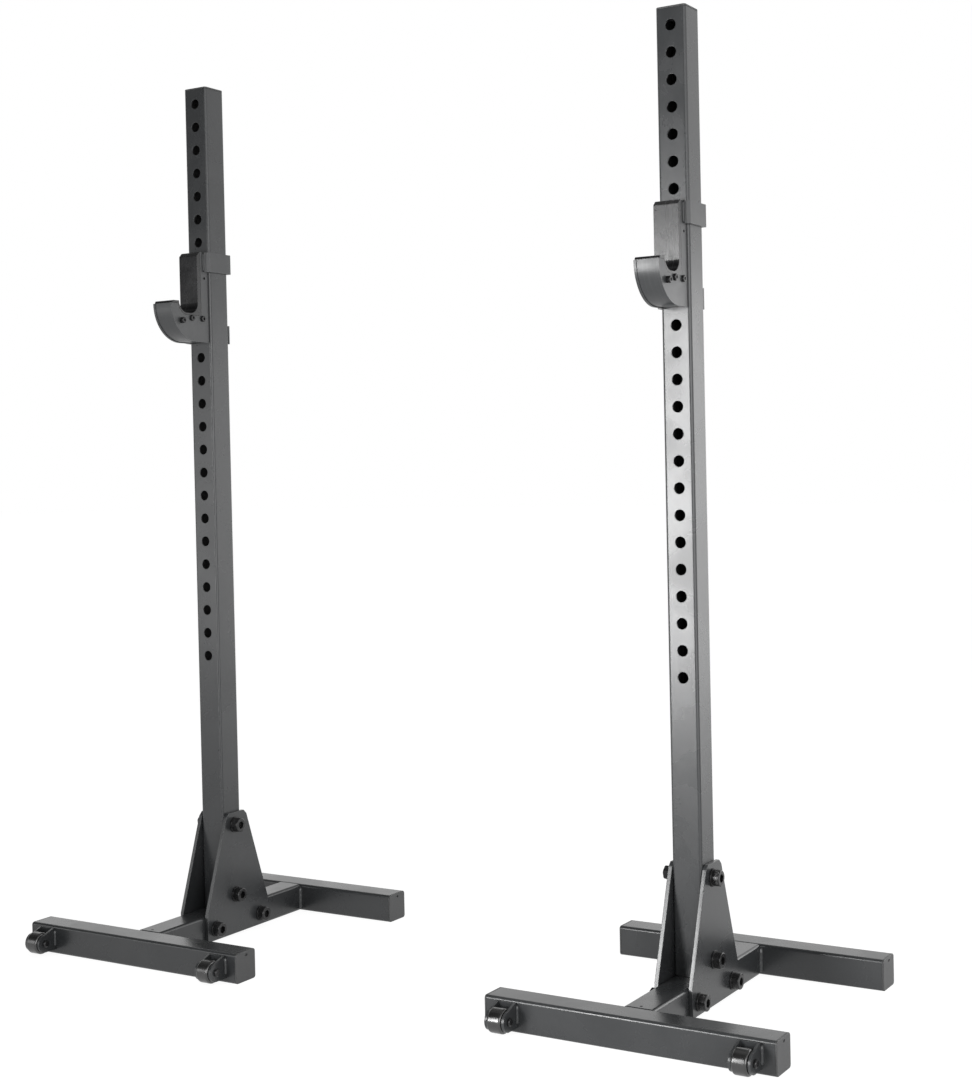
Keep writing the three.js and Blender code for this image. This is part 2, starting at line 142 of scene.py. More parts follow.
def dress(piece, material, slotName, bodyName, *stoodFor):
    piece.data.materials.clear()
    piece.data.materials.append(material)
    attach(piece, bodyName)
    if stoodFor:
        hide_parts(*stoodFor)


# A copy with its own mesh; the master is modelled about the origin, pointing up
def placeCopy(master, name, turn, spot):
    piece = master.copy()
    piece.data = master.data.copy()
    piece.name = piece.data.name = name
    bpy.context.scene.collection.objects.link(piece)
    piece.data.transform(Matrix.Translation(spot) @ turn.to_matrix().to_4x4())
    return piece


upTurn = Euler((0, 0, 0))
rightTurn = Euler((0, math.pi / 2, 0))      # what points up then points to +X
leftTurn = Euler((0, -math.pi / 2, 0))


# Shader helpers: a group is built once and placed in each finish with its own values
def newGroup(name, inputs, outputs):
    group = bpy.data.node_groups.new(name, "ShaderNodeTree")
    for label, value in inputs.items():
        socket = group.interface.new_socket(
            name=label, in_out="INPUT", socket_type="NodeSocketFloat")
        socket.default_value = value
    for label in outputs:
        group.interface.new_socket(name=label, in_out="OUTPUT", socket_type="NodeSocketFloat")
    return group, group.nodes.new("NodeGroupInput"), group.nodes.new("NodeGroupOutput")


def addNode(tree, kind, settings=None, values=None):
    node = tree.nodes.new(kind)
    for label, value in (settings or {}).items():
        setattr(node, label, value)
    for label, value in (values or {}).items():
        node.inputs[label].default_value = value
    return node


def mapRange(tree, source, low, high, outLow=0.0, outHigh=1.0):
    node = addNode(tree, "ShaderNodeMapRange", {"interpolation_type": "SMOOTHSTEP"},
                   {"From Min": low, "From Max": high, "To Min": outLow, "To Max": outHigh})
    tree.links.new(source, node.inputs["Value"])
    return node.outputs["Result"]


def sumOf(tree, operation, first, second):
    node = addNode(tree, "ShaderNodeMath", {"operation": operation})
    for socket, value in zip(node.inputs, (first, second)):
        if isinstance(value, (int, float)):
            socket.default_value = value
        else:
            tree.links.new(value, socket)
    return node.outputs[0]


# Orange peel of a sprayed or moulded skin, its slow change of tone, and fine specks
def makeSkinGrain():
    group, inside, outside = newGroup(
        "skinGrain", {"Peel Scale": 420.0, "Tone Scale": 7.0, "Speck Scale": 1500.0},
        ("Height", "Tone", "Speck"))
    place = addNode(group, "ShaderNodeTexCoord").outputs["Object"]
    peel = addNode(group, "ShaderNodeTexNoise", values={"Detail": 2.0, "Roughness": 0.45})
    tone = addNode(group, "ShaderNodeTexNoise",
                   values={"Detail": 5.0, "Roughness": 0.6, "Distortion": 0.4})
    speck = addNode(group, "ShaderNodeTexNoise", values={"Detail": 1.0, "Roughness": 0.5})
    for node, label in ((peel, "Peel Scale"), (tone, "Tone Scale"), (speck, "Speck Scale")):
        group.links.new(place, node.inputs["Vector"])
        group.links.new(inside.outputs[label], node.inputs["Scale"])
    group.links.new(peel.outputs["Fac"], outside.inputs["Height"])
    slow = mapRange(group, tone.outputs["Fac"], low=0.3, high=0.7)
    group.links.new(slow, outside.inputs["Tone"])
    sparse = mapRange(group, speck.outputs["Fac"], low=0.62, high=0.74)
    group.links.new(sparse, outside.inputs["Speck"])
    return group


# Lighter edges, partly rubbed paint and partly a painted highlight: the rounded normal leaves the
# real one near an edge
def makeEdgeRub():
    group, inside, outside = newGroup(
        "edgeRubAndSheen", {"Radius": 1.6 * mm, "Amount": 1.0, "Patch Scale": 60.0}, ("Mask",))
    bevel = addNode(group, "ShaderNodeBevel", {"samples": 4})
    group.links.new(inside.outputs["Radius"], bevel.inputs["Radius"])
    skin = addNode(group, "ShaderNodeNewGeometry")
    dot = addNode(group, "ShaderNodeVectorMath", {"operation": "DOT_PRODUCT"})
    group.links.new(bevel.outputs["Normal"], dot.inputs[0])
    group.links.new(skin.outputs["Normal"], dot.inputs[1])
    edge = mapRange(group, dot.outputs["Value"], low=0.995, high=0.90)
    place = addNode(group, "ShaderNodeTexCoord").outputs["Object"]
    patch = addNode(group, "ShaderNodeTexNoise", values={"Detail": 6.0, "Roughness": 0.65})
    group.links.new(place, patch.inputs["Vector"])
    group.links.new(inside.outputs["Patch Scale"], patch.inputs["Scale"])
    patches = mapRange(group, patch.outputs["Fac"], low=0.38, high=0.62, outLow=0.25)
    worn = sumOf(group, "MULTIPLY", edge, patches)
    mask = sumOf(group, "MULTIPLY", worn, inside.outputs["Amount"])
    group.links.new(mask, outside.inputs["Mask"])
    return group


# Thin dust on what faces up
def makeDust():
    group, inside, outside = newGroup("dustFilm", {"Amount": 1.0, "Scale": 25.0}, ("Mask",))
    coordinates = addNode(group, "ShaderNodeTexCoord")
    split = addNode(group, "ShaderNodeSeparateXYZ")
    group.links.new(coordinates.outputs["Normal"], split.inputs[0])
    up = mapRange(group, split.outputs["Z"], low=0.5, high=0.95)
    cloud = addNode(group, "ShaderNodeTexNoise", values={"Detail": 6.0, "Roughness": 0.7})
    group.links.new(coordinates.outputs["Object"], cloud.inputs["Vector"])
    group.links.new(inside.outputs["Scale"], cloud.inputs["Scale"])
    clouds = mapRange(group, cloud.outputs["Fac"], low=0.25, high=0.75, outLow=0.3)
    film = sumOf(group, "MULTIPLY", up, clouds)
    mask = sumOf(group, "MULTIPLY", film, inside.outputs["Amount"])
    group.links.new(mask, outside.inputs["Mask"])
    return group


# Fine scratches and streaks: they change across X and run along Y and Z
def makeStreaks():
    group, inside, outside = newGroup(
        "streaks", {"Across": 700.0, "Along": 12.0, "Level": 0.6}, ("Mask", "Height"))
    place = addNode(group, "ShaderNodeTexCoord").outputs["Object"]
    stretch = addNode(group, "ShaderNodeCombineXYZ")
    group.links.new(inside.outputs["Across"], stretch.inputs["X"])
    for axis in ("Y", "Z"):
        group.links.new(inside.outputs["Along"], stretch.inputs[axis])
    scaled = addNode(group, "ShaderNodeVectorMath", {"operation": "MULTIPLY"})
    group.links.new(place, scaled.inputs[0])
    group.links.new(stretch.outputs[0], scaled.inputs[1])
    noise = addNode(group, "ShaderNodeTexNoise",
                    values={"Scale": 1.0, "Detail": 4.0, "Roughness": 0.6})
    group.links.new(scaled.outputs["Vector"], noise.inputs["Vector"])
    above = sumOf(group, "SUBTRACT", noise.outputs["Fac"], inside.outputs["Level"])
    group.links.new(mapRange(group, above, low=0.0, high=0.12), outside.inputs["Mask"])
    group.links.new(noise.outputs["Fac"], outside.inputs["Height"])
    return group


skinGrain = makeSkinGrain()
edgeRubAndSheen = makeEdgeRub()
dustFilm = makeDust()
streaks = makeStreaks()


def placeGroup(tree, group, values):
    return addNode(tree, "ShaderNodeGroup", {"node_tree": group}, values).outputs


def mixColours(tree, share, first, second):
    node = addNode(tree, "ShaderNodeMix", {"data_type": "RGBA", "clamp_factor": True})
    tree.links.new(share, node.inputs["Factor"])
    for label, value in (("A", first), ("B", second)):
        socket = [s for s in node.inputs if s.name == label and s.type == "RGBA"][0]
        if isinstance(value, tuple):
            socket.default_value = (*value, 1.0)
        else:
            tree.links.new(value, socket)
    return [s for s in node.outputs if s.type == "RGBA"][0]


def newMaterial(name):
    material = bpy.data.materials.new(name)
    material.use_nodes = True
    return material, material.node_tree, material.node_tree.nodes["Principled BSDF"]


def addBump(tree, shader, height, strength, distance):
    bump = addNode(tree, "ShaderNodeBump", values={"Strength": strength, "Distance": distance})
    tree.links.new(height, bump.inputs["Height"])
    tree.links.new(bump.outputs["Normal"], shader.inputs["Normal"])


# A sprayed, moulded or blackened skin; each finish has its own numbers
def makeSkin(name, finish):
    material, tree, shader = newMaterial(name)
    grain = placeGroup(tree, skinGrain, {
        "Peel Scale": finish["peelScale"], "Tone Scale": finish["toneScale"],
        "Speck Scale": finish["speckScale"]})
    rubAndSheen = placeGroup(tree, edgeRubAndSheen, {"Amount": finish["rubAndSheen"], "Radius": finish["rubAndSheenRadius"]})
    dust = placeGroup(tree, dustFilm, {"Amount": finish["dust"]})
    colour = mixColours(tree, grain["Tone"], finish["dark"], finish["light"])
    specks = sumOf(tree, "MULTIPLY", grain["Speck"], finish["specks"])
    colour = mixColours(tree, specks, colour, finish["speckColour"])
    if "streaks" in finish:
        marks = placeGroup(tree, streaks, finish["streaks"])
        worn = sumOf(tree, "MULTIPLY", marks["Mask"], finish["streakShare"])
        colour = mixColours(tree, worn, colour, finish["streakColour"])
    # edges are lightened: partly wear, partly a painted highlight along them
    colour = mixColours(tree, rubAndSheen["Mask"], colour, finish["rubAndSheenColour"])
    colour = mixColours(tree, dust["Mask"], colour, finish["dustColour"])
    rough = mapRange(tree, grain["Tone"], 0.0, 1.0,
                     outLow=finish["roughLow"], outHigh=finish["roughHigh"])
    rough = sumOf(tree, "ADD", rough, sumOf(tree, "MULTIPLY", dust["Mask"], finish["dustRough"]))
    # the tube's inside is painted near black: partly bare steel, partly painted shade
    if "bareAndShadedInsideColour" in finish:
        inside = addNode(tree, "ShaderNodeAttribute", {"attribute_name": "inside"}).outputs["Fac"]
        colour = mixColours(tree, inside, colour, finish["bareAndShadedInsideColour"])
        rough = sumOf(tree, "ADD", rough, sumOf(tree, "MULTIPLY", inside, finish["insideRough"]))
    tree.links.new(colour, shader.inputs["Base Color"])
    tree.links.new(rough, shader.inputs["Roughness"])
    height = grain["Height"]
    if "streaks" in finish:
        depth = sumOf(tree, "MULTIPLY", marks["Height"], finish["streakDepth"])
        height = sumOf(tree, "ADD", height, depth)
    addBump(tree, shader, height, finish["bump"], finish["bumpDepth"])
    shader.inputs["Metallic"].default_value = finish["metal"]
    shader.inputs["Specular IOR Level"].default_value = finish["specular"]
    return material


framePaint = makeSkin("frame_paint", {
    "dark": (0.033, 0.035, 0.037), "light": (0.042, 0.044, 0.046),
    "roughLow": 0.24, "roughHigh": 0.30, "metal": 0.0, "specular": 0.55,
    "peelScale": 420.0, "toneScale": 7.0, "speckScale": 1500.0,
    "specks": 0.35, "speckColour": (0.085, 0.088, 0.090),
    "rubAndSheen": 0.3, "rubAndSheenRadius": 1.4 * mm, "rubAndSheenColour": (0.11, 0.114, 0.117),
    "dust": 0.04, "dustColour": (0.30, 0.30, 0.29), "dustRough": 0.6,
    "bareAndShadedInsideColour": (0.002, 0.002, 0.002), "insideRough": 0.6,
    "bump": 0.12, "bumpDepth": 0.5 * mm})

hookPaint = makeSkin("hook_paint", {
    "dark": (0.036, 0.038, 0.040), "light": (0.048, 0.050, 0.052),
    "roughLow": 0.31, "roughHigh": 0.40, "metal": 0.0, "specular": 0.55,
    "peelScale": 460.0, "toneScale": 14.0, "speckScale": 1600.0,
    "specks": 0.3, "speckColour": (0.07, 0.072, 0.074),
    "rubAndSheen": 0.7, "rubAndSheenRadius": 1.4 * mm, "rubAndSheenColour": (0.12, 0.122, 0.124),
    "dust": 0.04, "dustColour": (0.28, 0.28, 0.27), "dustRough": 0.5,
    "streaks": {"Across": 240.0, "Along": 6.0, "Level": 0.56}, "streakShare": 0.35,
    "streakColour": (0.07, 0.072, 0.074), "streakDepth": 0.3,
    "bump": 0.2, "bumpDepth": 0.5 * mm})

blackSteel = makeSkin("black_steel", {
    "dark": (0.010, 0.010, 0.011), "light": (0.018, 0.018, 0.019),
    "roughLow": 0.22, "roughHigh": 0.36, "metal": 0.35, "specular": 0.6,
    "peelScale": 900.0, "toneScale": 60.0, "speckScale": 2200.0,
    "specks": 0.3, "speckColour": (0.05, 0.048, 0.045),
    "rubAndSheen": 0.8, "rubAndSheenRadius": 0.8 * mm, "rubAndSheenColour": (0.13, 0.13, 0.13),
    "dust": 0.05, "dustColour": (0.25, 0.25, 0.24), "dustRough": 0.5,
    "bump": 0.12, "bumpDepth": 0.3 * mm})

capPlastic = makeSkin("cap_plastic", {
    "dark": (0.055, 0.056, 0.057), "light": (0.070, 0.071, 0.072),
    "roughLow": 0.42, "roughHigh": 0.52, "metal": 0.0, "specular": 0.5,
    "peelScale": 1300.0, "toneScale": 16.0, "speckScale": 2400.0,
    "specks": 0.3, "speckColour": (0.08, 0.08, 0.08),
    "rubAndSheen": 0.4, "rubAndSheenRadius": 1.0 * mm, "rubAndSheenColour": (0.10, 0.10, 0.10),
    "dust": 0.10, "dustColour": (0.28, 0.28, 0.27), "dustRough": 0.4,
    "bump": 0.35, "bumpDepth": 0.25 * mm})

linerPlastic = makeSkin("liner_plastic", {
    "dark": (0.007, 0.007, 0.008), "light": (0.013, 0.013, 0.014),
    "roughLow": 0.20, "roughHigh": 0.28, "metal": 0.0, "specular": 0.5,
    "peelScale": 700.0, "toneScale": 26.0, "speckScale": 1800.0,
    "specks": 0.2, "speckColour": (0.05, 0.05, 0.05),
    "rubAndSheen": 0.5, "rubAndSheenRadius": 1.0 * mm, "rubAndSheenColour": (0.06, 0.06, 0.06),
    "dust": 0.06, "dustColour": (0.22, 0.22, 0.21), "dustRough": 0.4,
    "streaks": {"Across": 420.0, "Along": 9.0, "Level": 0.54}, "streakShare": 0.5,
    "streakColour": (0.035, 0.035, 0.036), "streakDepth": 3.0,
    "bump": 0.1, "bumpDepth": 0.4 * mm})

rollerPlastic = makeSkin("roller_plastic", {
    "dark": (0.010, 0.010, 0.010), "light": (0.016, 0.016, 0.016),
    "roughLow": 0.18, "roughHigh": 0.23, "metal": 0.0, "specular": 1.0,
    "peelScale": 500.0, "toneScale": 50.0, "speckScale": 2000.0,
    "specks": 0.15, "speckColour": (0.03, 0.03, 0.03),
    "rubAndSheen": 0.3, "rubAndSheenRadius": 1.0 * mm, "rubAndSheenColour": (0.04, 0.04, 0.04),
    "dust": 0.04, "dustColour": (0.2, 0.2, 0.19), "dustRough": 0.3,
    "bump": 0.01, "bumpDepth": 0.3 * mm})
print("six finishes made")


# How a solid's mesh is read: vertices this close are one, and these degrees are flat or sharp
solid = {"weld": 0.01 * mm, "flat": 1.0, "sharp": 40}


# CAD nodes whose shape is right stay, with softened edges and a finish
def dressNode(name, material, edge):
    piece = nodes[name]
    piece.data.materials.clear()
    piece.data.materials.append(material)
    for face in piece.data.polygons:
        face.use_smooth = True
    weld = piece.modifiers.new("weld", "WELD")
    weld.merge_threshold = solid["weld"]
    flats = piece.modifiers.new("flats", "DECIMATE")
    flats.decimate_type = "DISSOLVE"
    flats.angle_limit = math.radians(solid["flat"])
    bevel = piece.modifiers.new("round", "BEVEL")
    bevel.width = edge
    bevel.segments = 2
    bevel.limit_method = "ANGLE"
    bevel.angle_limit = math.radians(solid["sharp"])
    weighted = piece.modifiers.new("normals", "WEIGHTED_NORMAL")
    weighted.keep_sharp = True


# Their finish, its slot, and the width of their softened edges
keptNodes = {
    "base_front_tube": (framePaint, "frame_paint", 0.4 * mm),
    "base_centre_tube": (framePaint, "frame_paint", 0.4 * mm),
    "base_rear_tube": (framePaint, "frame_paint", 0.4 * mm),
    "gusset_left": (framePaint, "frame_paint", 0.8 * mm),
    "gusset_right": (framePaint, "frame_paint", 0.8 * mm),
    "roller_bracket_left": (framePaint, "frame_paint", 0.7 * mm),
    "roller_bracket_right": (framePaint, "frame_paint", 0.7 * mm),
    "hook_bracket": (hookPaint, "hook_paint", 0.7 * mm),
}
for side in sides:
    for name, (material, slotName, edge) in keptNodes.items():
        dressNode(f"{side}_{name}", material, edge)
print("kept nodes dressed")


liner = {"edge": 0.8 * mm, "lipDrop": 109 * mm, "lipRound": 4.8 * mm, "near": 0.5 * mm}


# The liner starts as a merged copy of its solid; its lip's upper front edge is then rounded off
def buildLiner(side):
    low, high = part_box(f"{side}_hook_liner")
    piece = bpy.data.objects.new(f"{side}_liner", nodes[f"{side}_hook_liner"].data.copy())
    piece.data.name = piece.name
    bpy.context.scene.collection.objects.link(piece)
    only(piece)
    editMode("VERT")
    bpy.ops.mesh.select_all(action="SELECT")
    bpy.ops.mesh.remove_doubles(threshold=solid["weld"])
    bpy.ops.mesh.dissolve_limited(angle_limit=math.radians(solid["flat"]))
    objectMode()
    lipTop = high.z - liner["lipDrop"]

    def isLipEdge(middle, along):
        away = max(abs(middle.y - low.y), abs(middle.z - lipTop))
        return abs(along.x) > 0.9 and away < liner["near"]

    pickEdges(piece, isLipEdge)
    bpy.ops.mesh.bevel(offset=liner["lipRound"], segments=6, affect="EDGES")
    objectMode()
    roundEdges(piece, liner["edge"], limit=solid["sharp"])
    smooth(piece)
    dress(piece, linerPlastic, "liner_plastic", f"{side}_hook", f"{side}_hook_liner")


for side in sides:
    buildLiner(side)
print("hook liners made")


upright = {"width": 60 * mm, "wall": 3 * mm, "round": 6 * mm, "roundSteps": 6,
           "holeWidth": 21 * mm, "holeSides": 40, "holes": 25, "pitch": 50 * mm,
           "firstDrop": 35 * mm, "deburr": 0.6 * mm, "bareShare": 0.9}


def buildUpright(side):
    low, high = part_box(f"{side}_upright")
    centre = (low + high) / 2
    bpy.ops.mesh.primitive_cube_add(size=1, location=centre, scale=high - low)
    piece = startPiece(f"{side}_upright_tube")
    pickEdges(piece, lambda middle, along: alongZ(along))
    bpy.ops.mesh.bevel(offset=upright["round"], segments=upright["roundSteps"], affect="EDGES")
    pickFaces(piece, lambda middle, normal: alongZ(normal))
    bpy.ops.mesh.inset(thickness=upright["wall"])
    bpy.ops.mesh.bridge_edge_loops()
    objectMode()
    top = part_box(f"{side}_upright_cap")[1].z
    bpy.ops.mesh.primitive_cylinder_add(
        vertices=upright["holeSides"], radius=upright["holeWidth"] / 2, depth=2 * upright["width"],
        location=(centre.x, centre.y, top - upright["firstDrop"]), rotation=(math.pi / 2, 0, 0))
    drill = startPiece("drill")
    row = drill.modifiers.new("row", "ARRAY")
    row.count = upright["holes"]
    row.use_relative_offset = False
    row.use_constant_offset = True
    row.constant_offset_displace = (0, 0, -upright["pitch"])
    bpy.ops.object.modifier_apply(modifier=row.name)
    cutAway(piece, drill)
    roundEdges(piece, upright["deburr"])
    smooth(piece)
    # bare steel inside, painted near black as the shade inside the tube: an attribute marks the
    # faces that lie deeper than most of the wall
    reach = upright["width"] / 2 - upright["bareShare"] * upright["wall"]
    inside = piece.data.attributes.new("inside", "FLOAT", "FACE")
    for face, mark in zip(piece.data.polygons, inside.data):
        away = face.center - centre
        mark.value = float(abs(away.x) < reach and abs(away.y) < reach)
    dress(piece, framePaint, "frame_paint", "frame", f"{side}_upright")


for side in sides:
    buildUpright(side)
print("uprights drilled")


cap = {"width": 60 * mm, "round": 6 * mm, "head": 3.5 * mm, "rim": 1.4 * mm, "edge": 0.3 * mm,
       "plugInset": 3.5 * mm, "plug": 14 * mm, "ventWidth": 8 * mm, "ventHeight": 5 * mm,
       "ventDepth": 2.2 * mm, "ventAside": 1.5 * mm, "ventUp": 22.5 * mm}


def buildCap(vented):
    bpy.ops.mesh.primitive_cube_add(size=1, location=(0, 0, cap["head"] / 2),
                                    scale=(cap["width"], cap["width"], cap["head"]))
    piece = startPiece("capMaster")
    pickEdges(piece, lambda middle, along: alongZ(along))
    bpy.ops.mesh.bevel(offset=cap["round"], segments=6, affect="EDGES")
    pickEdges(piece, lambda middle, along: middle.z > 0.9 * cap["head"])
    bpy.ops.mesh.bevel(offset=cap["rim"], segments=4, affect="EDGES")
    pickFaces(piece, lambda middle, normal: normal.z < -0.9)
    bpy.ops.mesh.inset(thickness=cap["plugInset"])
    bpy.ops.mesh.extrude_region_move(TRANSFORM_OT_translate={"value": (0, 0, -cap["plug"])})
    objectMode()
    if vented:
        bpy.ops.mesh.primitive_cylinder_add(
            vertices=24, radius=0.5, depth=2 * cap["ventDepth"],
            location=(-cap["ventUp"], cap["ventAside"], cap["head"]),
            scale=(cap["ventHeight"], cap["ventWidth"], 1))
        cutAway(piece, startPiece("ventCutter"))
    roundEdges(piece, cap["edge"])
    smooth(piece)
    return piece


# A spot on the line along X through the middle of a box
def onMiddleLine(low, high, x):
    return Vector((x, (low.y + high.y) / 2, (low.z + high.z) / 2))


plainCap, ventedCap = buildCap(False), buildCap(True)
for side in sides:
    low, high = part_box(f"{side}_upright_cap")
    spot = Vector(((low.x + high.x) / 2, (low.y + high.y) / 2, high.z - cap["head"]))
    piece = placeCopy(plainCap, f"{side}_upright_top", upTurn, spot)
    dress(piece, capPlastic, "cap_plastic", "frame", f"{side}_upright_cap")
    for end in ("front", "rear"):
        for hand, turn in (("left", leftTurn), ("right", rightTurn)):
            node = f"{side}_cap_{end}_{hand}"
            low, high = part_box(node)
            x = high.x - cap["head"] if hand == "right" else low.x + cap["head"]
            spot = onMiddleLine(low, high, x)
            piece = placeCopy(ventedCap, f"{side}_{end}_{hand}_end", turn, spot)
            dress(piece, capPlastic, "cap_plastic", "frame", node)
for master in (plainCap, ventedCap):
    bpy.data.objects.remove(master)
print("end caps fitted")


washer = {"width": 34 * mm, "height": 3 * mm, "rim": 0.6 * mm}
gussetBolt = {"head": 30 * mm, "headHeight": 14.5 * mm, "headSides": 72, "rim": 2 * mm,
              "knurled": True, "knurlInset": 0.1 * mm, "knurlDepth": 0.35 * mm,
              "socket": 15 * mm, "socketDepth": 9 * mm, "shank": 16 * mm, "edge": 0.25 * mm,
              "washered": True}
linerScrew = {"head": 13 * mm, "headSides": 40, "rim": 1.6 * mm, "knurled": False,
              "socket": 6 * mm, "socketDepth": 2.5 * mm, "shank": 8 * mm, "edge": 0.25 * mm,
              "washered": False}
# One turn of thread is a waist and a crest, half a turn long each
thread = {"halfTurn": 0.5 * mm, "waist": 0.90, "tip": 0.8 * mm, "tipShare": 0.86, "turns": 2}
nut = {"across": 24 * mm, "height": 16 * mm, "bore": 16.6 * mm, "boreRim": 1.0 * mm,
       "corner": 1.6 * mm, "turnedShare": 1.002, "edge": 0.3 * mm}


# A round head or washer with a rounded upper rim, standing on a height
def buildHead(name, width, height, foot, rim, sides, steps=3):
    bpy.ops.mesh.primitive_cylinder_add(vertices=sides, radius=width / 2, depth=height,
                                        location=(0, 0, foot + height / 2))
    piece = startPiece(name)
    pickEdges(piece, lambda middle, along: middle.z > foot + 0.9 * height and acrossZ(along))
    bpy.ops.mesh.bevel(offset=rim, segments=steps, affect="EDGES")
    objectMode()
    return piece


def buildWasher():
    return buildHead("washer", washer["width"], washer["height"], foot=0, rim=washer["rim"],
                     sides=64, steps=2)


# The picked end is drawn out downwards, and made wider or narrower
def drawOut(length, share):
    bpy.ops.mesh.extrude_region_move(TRANSFORM_OT_translate={"value": (0, 0, -length)})
    bpy.ops.transform.resize(value=(share, share, 1))


# The shank reaches down from the head; its end may show a few turns of thread
def buildShank(width, length, turns):
    bpy.ops.mesh.primitive_cylinder_add(vertices=32, radius=width / 2, depth=length,
                                        location=(0, 0, -length / 2))
    piece = startPiece("shank")
    pickFaces(piece, lambda middle, normal: normal.z < -0.9)
    for _ in range(turns):
        for share in (thread["waist"], 1 / thread["waist"]):
            drawOut(thread["halfTurn"], share)
    drawOut(thread["tip"], thread["tipShare"])
    objectMode()
    return piece


def buildSocketScrew(name, screw, headHeight, length, turns):
    foot = washer["height"] if screw["washered"] else 0
    head = buildHead(name, screw["head"], headHeight, foot, screw["rim"], screw["headSides"])
    if screw["knurled"]:
        step = 2 * math.pi / screw["headSides"]

        def isGroove(middle, normal):      # every other side of the head
            angle = math.atan2(middle.y, middle.x) % (2 * math.pi)
            return abs(normal.z) < 0.1 and math.floor(angle / step) % 2 == 0

        pickFaces(head, isGroove)
        bpy.ops.mesh.inset(thickness=screw["knurlInset"], depth=-screw["knurlDepth"],
                           use_individual=True)
        objectMode()
    bpy.ops.mesh.primitive_cylinder_add(
        vertices=6, radius=screw["socket"] / math.sqrt(3), depth=2 * screw["socketDepth"],
        location=(0, 0, foot + headHeight))
    cutAway(head, startPiece("key"))
    parts = [buildShank(screw["shank"], length, turns)]
    if screw["washered"]:
        parts.append(buildWasher())
    joinPieces(head, *parts)
    roundEdges(head, screw["edge"])
    smooth(head)
    return head


# A nut that stands on its washer
def buildNut():
    height, foot, radius = nut["height"], washer["height"], nut["across"] / math.sqrt(3)
    top = foot + height
    centre = (0, 0, foot + height / 2)
    bpy.ops.mesh.primitive_cylinder_add(vertices=6, radius=radius, depth=height, location=centre)
    piece = startPiece("nutMaster")
    # the corners are turned down by a body with bevelled rims
    bpy.ops.mesh.primitive_cylinder_add(vertices=64, radius=radius * nut["turnedShare"],
                                        depth=height, location=centre)
    turned = startPiece("turned")
    pickEdges(turned, lambda middle, along: acrossZ(along))
    bpy.ops.mesh.bevel(offset=nut["corner"], segments=3, affect="EDGES")
    objectMode()
    cutAway(piece, turned, "INTERSECT")
    plate = buildWasher()
    for part in (piece, plate):
        bpy.ops.mesh.primitive_cylinder_add(vertices=32, radius=nut["bore"] / 2, depth=3 * top)
        cutAway(part, startPiece("bore"))

    def isBoreRim(middle, along):
        return middle.z > 0.95 * top and middle.xy.length < 0.55 * nut["bore"]

    only(piece)
    pickEdges(piece, isBoreRim)
    bpy.ops.mesh.bevel(offset=nut["boreRim"], segments=1, affect="EDGES")
    objectMode()
    joinPieces(piece, plate)
    roundEdges(piece, nut["edge"], limit=30)
    smooth(piece, angle=35)
    return piece


# A turn that follows a twist about the master's own axis
def twisted(turn, degrees):
    return (turn.to_matrix() @ Matrix.Rotation(math.radians(degrees), 3, "Z")).to_euler()


low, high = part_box("left_bolt_top")
boltLength = high.x - low.x - gussetBolt["headHeight"] - washer["height"]
threadLength = thread["turns"] * 2 * thread["halfTurn"] + thread["tip"]
boltMaster = buildSocketScrew("boltMaster", gussetBolt, gussetBolt["headHeight"],
                              boltLength - threadLength, thread["turns"])
nutMaster = buildNut()
twists = {"top": 12, "middle": 41, "front": 27, "rear": 3}      # degrees, so that no two look alike
nutLead = 9
for side in sides:
    for place, twist in twists.items():
        low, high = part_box(f"{side}_bolt_{place}")
        spot = onMiddleLine(low, high, high.x - gussetBolt["headHeight"] - washer["height"])
        turn = twisted(rightTurn, twist)
        piece = placeCopy(boltMaster, f"{side}_{place}_bolt", turn, spot)
        dress(piece, blackSteel, "black_steel", "frame", f"{side}_bolt_{place}")
        low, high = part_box(f"{side}_nut_{place}")
        spot = onMiddleLine(low, high, high.x)
        turn = twisted(leftTurn, twist + nutLead)
        piece = placeCopy(nutMaster, f"{side}_{place}_nut", turn, spot)
        dress(piece, blackSteel, "black_steel", "frame", f"{side}_nut_{place}")
for master in (boltMaster, nutMaster):
    bpy.data.objects.remove(master)

screwGap = 0.3 * mm      # between a liner screw's head and the side plate under it
for place in ("front", "middle", "rear"):
    low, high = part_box(f"left_hook_screw_{place}")
    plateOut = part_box("left_hook_liner")[1].x
    headHeight = high.x - plateOut - screwGap
    shankLength = high.x - low.x - headHeight - thread["tip"]
    master = buildSocketScrew("screwMaster", linerScrew, headHeight, shankLength, turns=0)
    for side in sides:
        low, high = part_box(f"{side}_hook_screw_{place}")
        spot = onMiddleLine(low, high, high.x - headHeight)
        piece = placeCopy(master, f"{side}_hook_{place}_screw", rightTurn, spot)
        dress(piece, blackSteel, "black_steel", f"{side}_hook", f"{side}_hook_screw_{place}")
    bpy.data.objects.remove(master)
print("bolts, nuts and screws fitted")


roller = {"width": 45 * mm, "length": 28 * mm, "round": 4 * mm, "bore": 8.6 * mm,
          "rim": 2 * mm, "rimSlope": 0.8 * mm, "dish": 1.6 * mm, "hub": 20 * mm,
          "hubSlope": 0.6 * mm, "edge": 0.3 * mm}
axle = {"rod": 8 * mm, "head": 15 * mm, "headHeight": 5 * mm, "dome": 3.2 * mm,
        "tail": 12 * mm, "tailHeight": 3 * mm, "tailRound": 1.6 * mm, "edge": 0.3 * mm}


